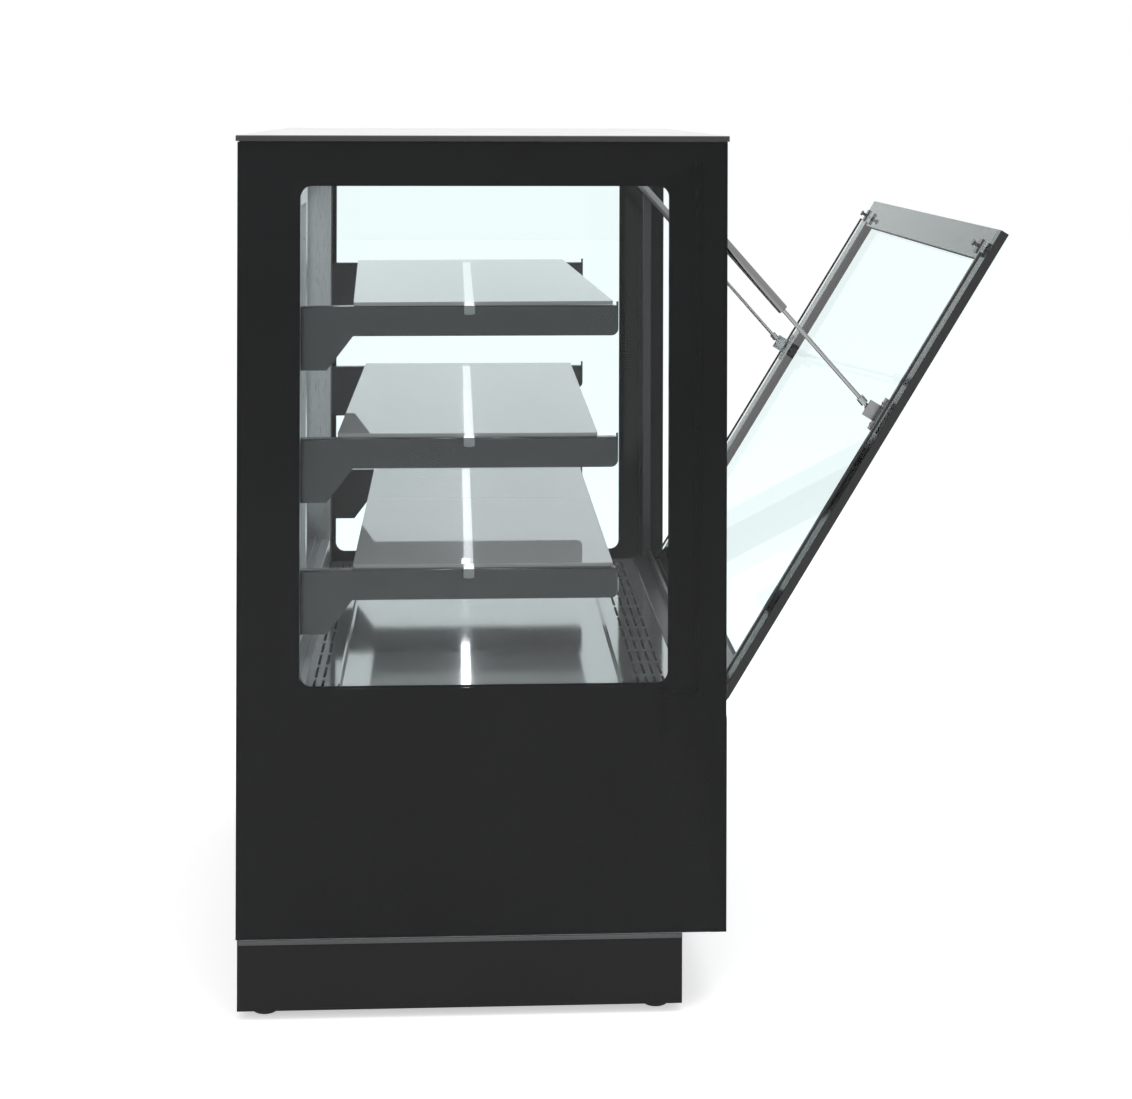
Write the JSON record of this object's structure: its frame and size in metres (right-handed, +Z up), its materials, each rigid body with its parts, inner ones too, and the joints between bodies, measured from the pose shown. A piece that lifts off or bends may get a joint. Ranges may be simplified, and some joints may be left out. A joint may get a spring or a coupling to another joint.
{
  "type": "refrigerated display case",
  "caption": "Upright refrigerated display case with glass sides, lit glass shelves, rear sliding doors and a front glass that tilts open on gas struts.",
  "frame": {"origin": "on the floor, below the centre of the case's outer box with the front glass open", "axes": "+Z up, the customer's front faces -Y, +X to the right of someone facing the front"},
  "size_m": [0.9, 1.0662, 1.2],
  "materials": {
    "black_glass": "opaque black glass, polished",
    "black_paint": "satin powder coat",
    "side_panes": "clear toughened glass",
    "black_print": "fired black print on glass",
    "spacer_bar": "satin",
    "satin_trim": "satin",
    "black_rubber": "matte",
    "zinc_sheet": "zinc coated sheet",
    "tub_liner": "foamed tub with a plain liner",
    "polished_steel": "polished stainless steel",
    "black_frame": "black anodised",
    "satin_frame": "satin anodised",
    "grey_plastic": "matte",
    "clear_glass": "clear sealed pane",
    "shelf_glass": "clear toughened glass, polished edges",
    "bracket_paint": "dark grey gloss paint",
    "lamp_aluminium": "satin anodised",
    "lamp_lens": "opal",
    "fin_aluminium": "bare fins",
    "fan_plastic": "matte",
    "compressor_paint": "semi-gloss",
    "pipe_metal": "drawn copper",
    "control_plastic": "fine texture",
    "button_plastic": "matte",
    "rocker_plastic": "gloss",
    "front_panes": "clear toughened glass",
    "black_sealant": "matte sealant over the spacer",
    "seal_rubber": "matte",
    "bright_steel": "plated",
    "latch_metal": "dark plated",
    "strut_tube": "bright plated tube",
    "strut_rod": "polished"
  },
  "bodies": {
    "cabinet": {"top_glass": "black_glass", "roof_panel": "black_paint", "side_glass_outer": "side_panes", "side_glass_inner": "side_panes", "side_borders": "black_print", "side_spacers": "spacer_bar", "plinth": "black_paint", "base_rail": "satin_trim", "feet": "black_rubber", "chassis": "zinc_sheet", "insulated_tub": "tub_liner", "deck_tray": "polished_steel", "air_grilles": "polished_steel", "door_frame": "black_frame", "rear_frame": "satin_frame", "rear_tracks": "grey_plastic", "shelf_uprights": "polished_steel", "shelf_brackets": "bracket_paint", "shelf_glass_top": "shelf_glass", "shelf_glass_middle": "shelf_glass", "shelf_glass_bottom": "shelf_glass", "lamp_housings": "lamp_aluminium", "lamp_lenses": "lamp_lens", "evaporator_coil": "fin_aluminium", "evaporator_fan_frame": "fan_plastic", "compressor": "compressor_paint", "compressor_feet": "black_rubber", "condenser_coil": "fin_aluminium", "condenser_fan_frame": "zinc_sheet", "refrigerant_pipes": "pipe_metal", "drain_tray": "grey_plastic", "front_panel": "black_paint", "rear_panel": "black_paint", "control_housings": "control_plastic", "power_inlet": "control_plastic", "hinge_brackets": "bright_steel", "strut_brackets_top": "bright_steel"},
    "front_glass": {"front_glass_outer": "front_panes", "front_glass_inner": "front_panes", "front_glass_borders": "black_print", "front_glass_spacer": "black_sealant", "front_glass_seals": "seal_rubber", "hinge_rail": "black_frame", "front_glass_latches": "latch_metal", "strut_brackets_door": "bright_steel"},
    "strut_cylinder_left_body": {"strut_cylinder_left": "strut_tube"},
    "strut_cylinder_right_body": {"strut_cylinder_right": "strut_tube"},
    "strut_rod_left_body": {"strut_rod_left": "strut_rod"},
    "strut_rod_right_body": {"strut_rod_right": "strut_rod"},
    "rear_door_left": {"rear_door_frame_left": "satin_frame", "rear_door_glass_left": "clear_glass"},
    "rear_door_right": {"rear_door_frame_right": "satin_frame", "rear_door_glass_right": "clear_glass"},
    "evaporator_fan": {"evaporator_fan_blade": "fan_plastic"},
    "condenser_fan": {"condenser_fan_blade": "fan_plastic"},
    "set_button": {"button_set": "button_plastic"},
    "down_button": {"button_down": "button_plastic"},
    "up_button": {"button_up": "button_plastic"},
    "light_rocker": {"rocker_light": "rocker_plastic"},
    "power_rocker": {"rocker_power": "rocker_plastic"}
  },
  "joints": [
    {"name": "front_glass_tilt", "type": "hinge", "parent": "cabinet", "child": "front_glass", "pos_m": [0, -0.12736, 0.4177], "axis": [1, 0, 0], "range_deg": [-31.4, 0]},
    {"name": "strut_swing_left", "type": "hinge", "parent": "cabinet", "child": "strut_cylinder_left_body", "pos_m": [-0.405, -0.04336, 1.158], "axis": [1, 0, 0], "range_deg": [0, 29.9]},
    {"name": "strut_slide_left", "type": "slide", "parent": "strut_cylinder_left_body", "child": "strut_rod_left_body", "axis": [0, -0.6616, -0.7498], "range_m": [-0.161, 0]},
    {"name": "strut_swing_right", "type": "hinge", "parent": "cabinet", "child": "strut_cylinder_right_body", "pos_m": [0.405, -0.04336, 1.158], "axis": [1, 0, 0], "range_deg": [0, 29.9]},
    {"name": "strut_slide_right", "type": "slide", "parent": "strut_cylinder_right_body", "child": "strut_rod_right_body", "axis": [0, -0.6616, -0.7498], "range_m": [-0.161, 0]},
    {"name": "rear_door_slide_left", "type": "slide", "parent": "cabinet", "child": "rear_door_left", "axis": [1, 0, 0], "range_m": [0, 0.378]},
    {"name": "rear_door_slide_right", "type": "slide", "parent": "cabinet", "child": "rear_door_right", "axis": [1, 0, 0], "range_m": [-0.378, 0]},
    {"name": "evaporator_fan_spin", "type": "hinge", "parent": "cabinet", "child": "evaporator_fan", "pos_m": [0, 0.18, 0.38], "axis": [0, -1, 0], "continuous": true},
    {"name": "condenser_fan_spin", "type": "hinge", "parent": "cabinet", "child": "condenser_fan", "pos_m": [-0.19, 0.42, 0.201], "axis": [0, -1, 0], "continuous": true},
    {"name": "set_press", "type": "slide", "parent": "cabinet", "child": "set_button", "axis": [0, -1, 0], "range_m": [0, 0.0012], "stiffness_N_per_m": 400, "springref_m": -0.0004},
    {"name": "down_press", "type": "slide", "parent": "cabinet", "child": "down_button", "axis": [0, -1, 0], "range_m": [0, 0.0012], "stiffness_N_per_m": 400, "springref_m": -0.0004},
    {"name": "up_press", "type": "slide", "parent": "cabinet", "child": "up_button", "axis": [0, -1, 0], "range_m": [0, 0.0012], "stiffness_N_per_m": 400, "springref_m": -0.0004},
    {"name": "light_rock", "type": "hinge", "parent": "cabinet", "child": "light_rocker", "pos_m": [0.315, 0.52414, 0.262], "axis": [1, 0, 0], "range_deg": [-8, 8]},
    {"name": "power_rock", "type": "hinge", "parent": "cabinet", "child": "power_rocker", "pos_m": [0.285, 0.52414, 0.262], "axis": [1, 0, 0], "range_deg": [-8, 8]}
  ],
  "couplings": [
    {"joint": "strut_swing_left", "follows": "front_glass_tilt", "ratio": -0.95013},
    {"joint": "strut_slide_left", "follows": "front_glass_tilt", "m_per_rad": 0.2929},
    {"joint": "strut_swing_right", "follows": "front_glass_tilt", "ratio": -0.95013},
    {"joint": "strut_slide_right", "follows": "front_glass_tilt", "m_per_rad": 0.2929}
  ]
}
